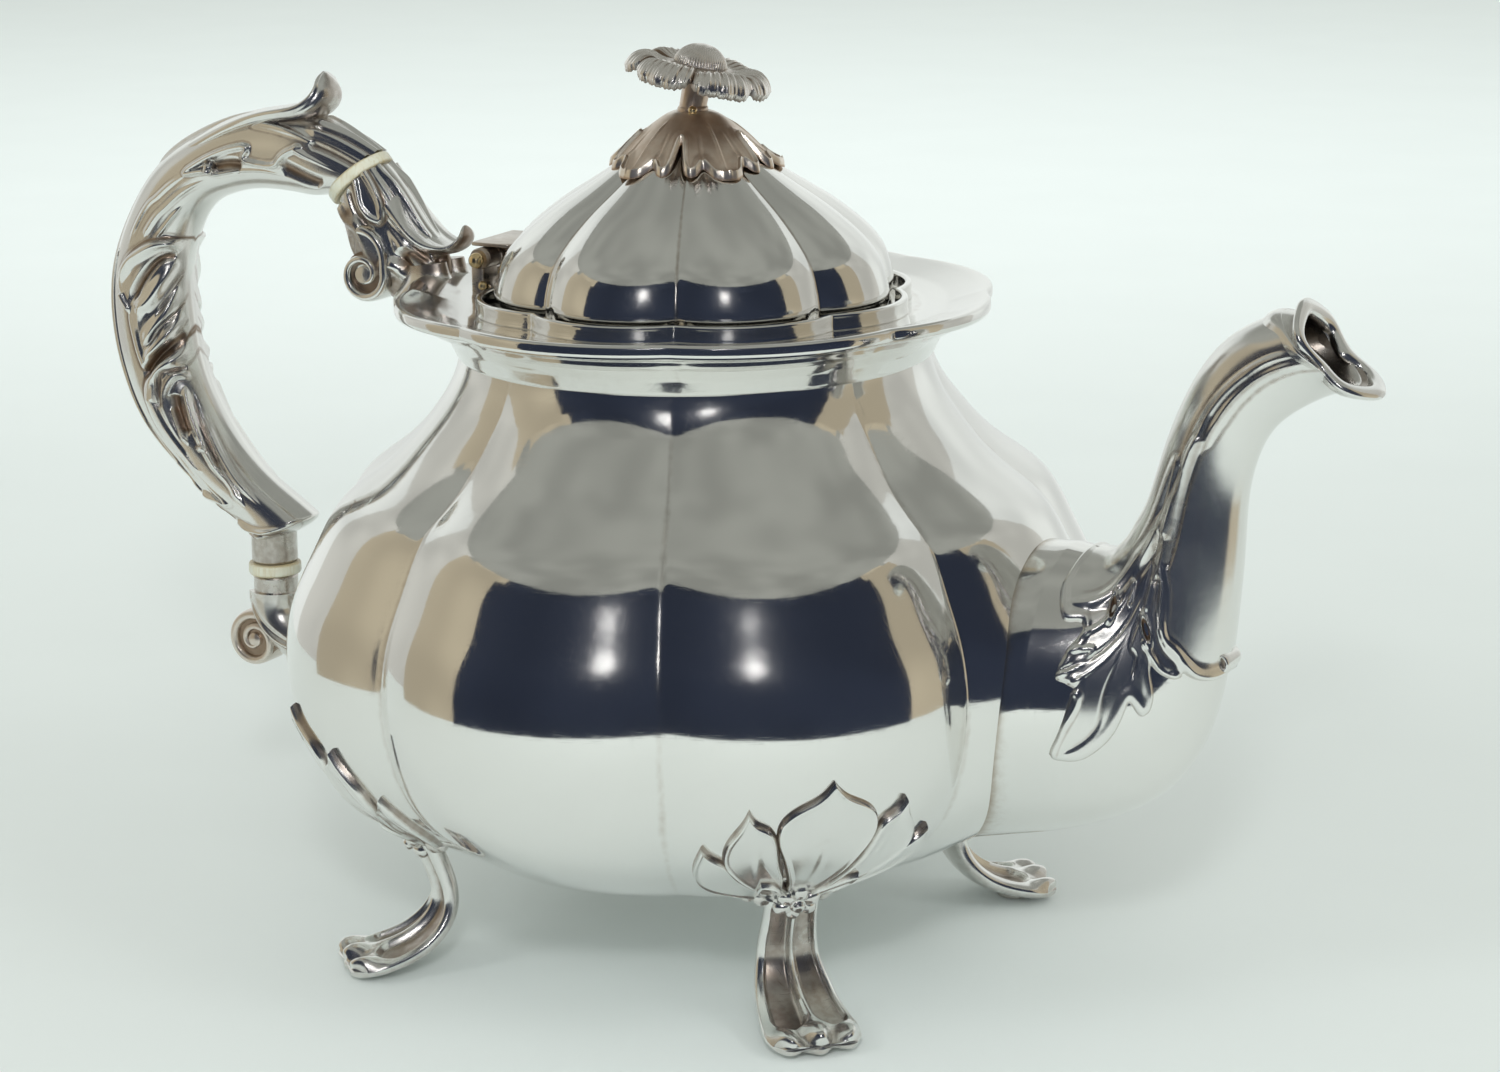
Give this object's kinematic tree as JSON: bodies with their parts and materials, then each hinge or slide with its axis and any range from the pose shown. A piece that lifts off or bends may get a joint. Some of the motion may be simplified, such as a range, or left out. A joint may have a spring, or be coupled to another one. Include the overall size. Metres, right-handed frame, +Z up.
{
  "type": "silver teapot",
  "caption": "Lobed silver teapot on leaf feet, with a hinged domed lid, flower finial, swan-neck spout and an insulated scroll handle, for brewing and pouring tea.",
  "frame": {"origin": "on the pot's axis, in the plane that the four feet stand on", "axes": "+X towards the spout, -X towards the handle, +Y across the pot, +Z up through the finial"},
  "size_m": [0.2808, 0.1668, 0.182],
  "materials": {
    "polished_silver": "polished sheet silver with fine swirl scratches",
    "cast_silver": "polished cast silver with brown tarnish in the hollows",
    "tarnished_silver": "cast silver with warm brown tarnish",
    "ivory": "ivory, softly polished",
    "gilt": "worn gilt"
  },
  "bodies": {
    "pot": {"body_shell": "polished_silver", "rim_flange": "polished_silver", "collar_ring": "polished_silver", "strainer": "polished_silver", "spout_base": "polished_silver", "spout_neck": "cast_silver", "spout_lip": "cast_silver", "spout_scroll": "cast_silver", "spout_leaf_left": "cast_silver", "spout_leaf_right": "cast_silver", "leg_spout_left": "cast_silver", "leg_spout_right": "cast_silver", "leg_handle_left": "cast_silver", "leg_handle_right": "cast_silver", "leaf_spout_left": "cast_silver", "leaf_spout_right": "cast_silver", "leaf_handle_left": "cast_silver", "leaf_handle_right": "cast_silver", "leg_bosses": "cast_silver", "upper_socket": "cast_silver", "upper_scroll": "tarnished_silver", "lower_socket": "cast_silver", "lower_scroll": "tarnished_silver", "handle_scroll": "cast_silver", "thumb_leaf": "cast_silver", "upper_insulator": "ivory", "lower_insulator": "ivory", "handle_pins": "cast_silver", "hinge_plate": "tarnished_silver", "hinge_pin": "gilt"},
    "lid": {"lid_dome": "polished_silver", "lid_bezel": "polished_silver", "hinge_leaf": "tarnished_silver", "calyx": "tarnished_silver", "finial_stem": "tarnished_silver", "finial_flower": "cast_silver", "finial_boss": "cast_silver", "finial_bead": "gilt", "finial_stud": "polished_silver", "finial_washer": "polished_silver", "finial_nut": "gilt"}
  },
  "joints": [
    {"name": "lid_hinge", "type": "hinge", "parent": "pot", "child": "lid", "pos_m": [-0.0436, 0, 0.1378], "axis": [0, -1, 0], "range_deg": [0, 80]}
  ]
}
